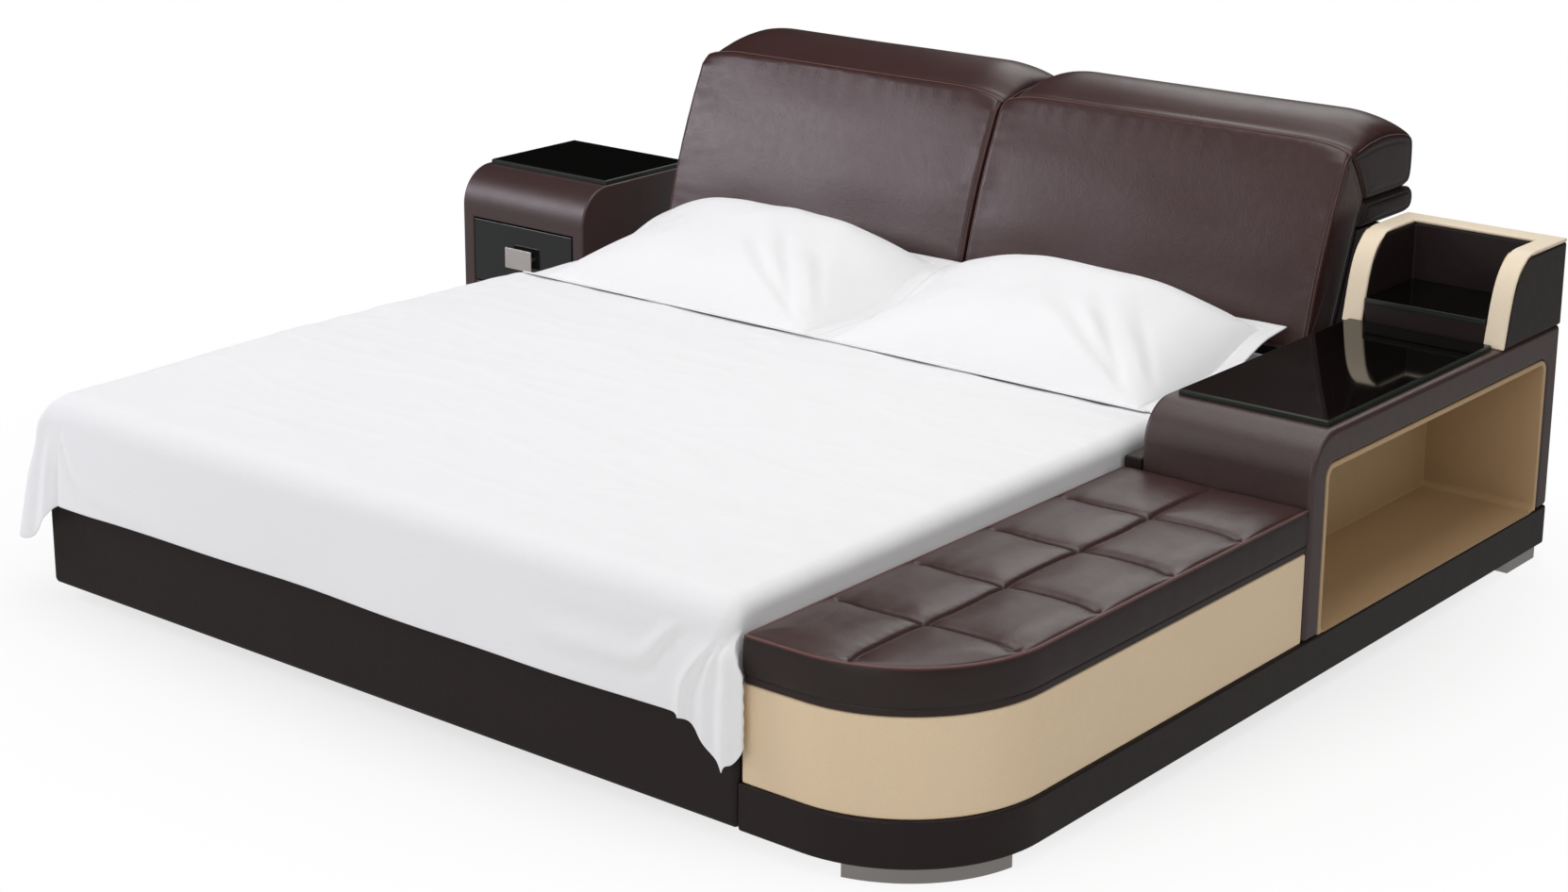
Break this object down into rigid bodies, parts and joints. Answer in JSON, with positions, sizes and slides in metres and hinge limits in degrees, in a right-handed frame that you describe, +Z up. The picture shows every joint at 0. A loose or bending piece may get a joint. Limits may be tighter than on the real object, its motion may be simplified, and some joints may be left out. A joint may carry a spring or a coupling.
{
  "type": "upholstered bed with attached nightstands",
  "caption": "Low brown leather bed with cream storage bench, open side table with hutch, drawer nightstand and fold-up headrests",
  "frame": {"origin": "middle of the footprint at floor level", "axes": "+X towards the bench and table side, +Y towards the headboard, +Z up"},
  "size_m": [3.09, 2.6344, 0.991],
  "materials": {
    "leather": "dark brown smooth leather, semi-matt",
    "cream_leather": "cream smooth leather, semi-matt",
    "bedding": "white plain cotton, soft folds",
    "black_glass": "black back-painted glass, polished",
    "timber": "pale plywood and beech, plain",
    "brushed_steel": "satin steel",
    "dark_steel": "dark powder coat",
    "rubber": "black rubber, matt"
  },
  "bodies": {
    "bed": {"foot_rail": "leather", "left_side_rail": "leather", "right_side_rail": "timber", "head_rail": "timber", "corner_blocks": "timber", "rubber_feet": "rubber", "centre_beam": "timber", "centre_legs": "dark_steel", "slat_bearers": "timber", "slats": "timber", "slat_caps": "rubber", "frame_bolts": "brushed_steel", "mattress": "bedding", "bed_cover": "bedding", "pillow_left": "bedding", "pillow_right": "bedding", "headboard_front_board": "leather", "headboard_ribs": "leather", "headboard_back_panel": "leather", "bolster": "leather", "wall_bumpers": "rubber", "back_pad_left": "leather", "back_pad_right": "leather", "ratchet_plates": "brushed_steel", "ratchet_pins": "brushed_steel", "nightstand_body": "leather", "nightstand_back": "timber", "nightstand_glass": "black_glass", "link_plates": "dark_steel", "cabinet_runners": "brushed_steel", "plinth_fascia": "leather", "plinth_boards": "timber", "front_foot": "brushed_steel", "rear_foot": "brushed_steel", "storage_box": "cream_leather", "hinge_leaf_fixed": "brushed_steel", "mattress_fence": "leather", "table_shell": "leather", "cubby_liner": "cream_leather", "table_glass": "black_glass", "hutch": "leather", "hutch_trim": "cream_leather", "hutch_riser": "leather", "hutch_glass": "black_glass"},
    "headrest_left_half": {"headrest_left": "leather", "headrest_board_left": "timber", "ratchet_cheeks_left": "dark_steel"},
    "headrest_right_half": {"headrest_right": "leather", "headrest_board_right": "timber", "ratchet_cheeks_right": "dark_steel"},
    "upper_drawer_set": {"upper_drawer": "timber", "upper_drawer_front": "black_glass", "upper_drawer_handle": "brushed_steel"},
    "lower_drawer_set": {"lower_drawer": "timber", "lower_drawer_front": "black_glass", "lower_drawer_handle": "brushed_steel"},
    "bench_lid": {"lid_board": "leather", "seat_cushion": "leather", "seat_piping": "leather", "hinge_leaf_moving": "brushed_steel"}
  },
  "joints": [
    {"name": "headrest_left_hinge", "type": "hinge", "parent": "bed", "child": "headrest_left_half", "pos_m": [-0.402, 0.99116, 0.926], "axis": [1, 0, 0], "range_deg": [0, 70]},
    {"name": "headrest_right_hinge", "type": "hinge", "parent": "bed", "child": "headrest_right_half", "pos_m": [0.582, 0.99116, 0.926], "axis": [1, 0, 0], "range_deg": [0, 70]},
    {"name": "upper_drawer_slide", "type": "slide", "parent": "bed", "child": "upper_drawer_set", "axis": [0, -1, 0], "range_m": [0, 0.28]},
    {"name": "lower_drawer_slide", "type": "slide", "parent": "bed", "child": "lower_drawer_set", "axis": [0, -1, 0], "range_m": [0, 0.28]},
    {"name": "bench_lid_hinge", "type": "hinge", "parent": "bed", "child": "bench_lid", "pos_m": [1.098, -0.64012, 0.41], "axis": [0, -1, 0], "range_deg": [0, 75]}
  ]
}
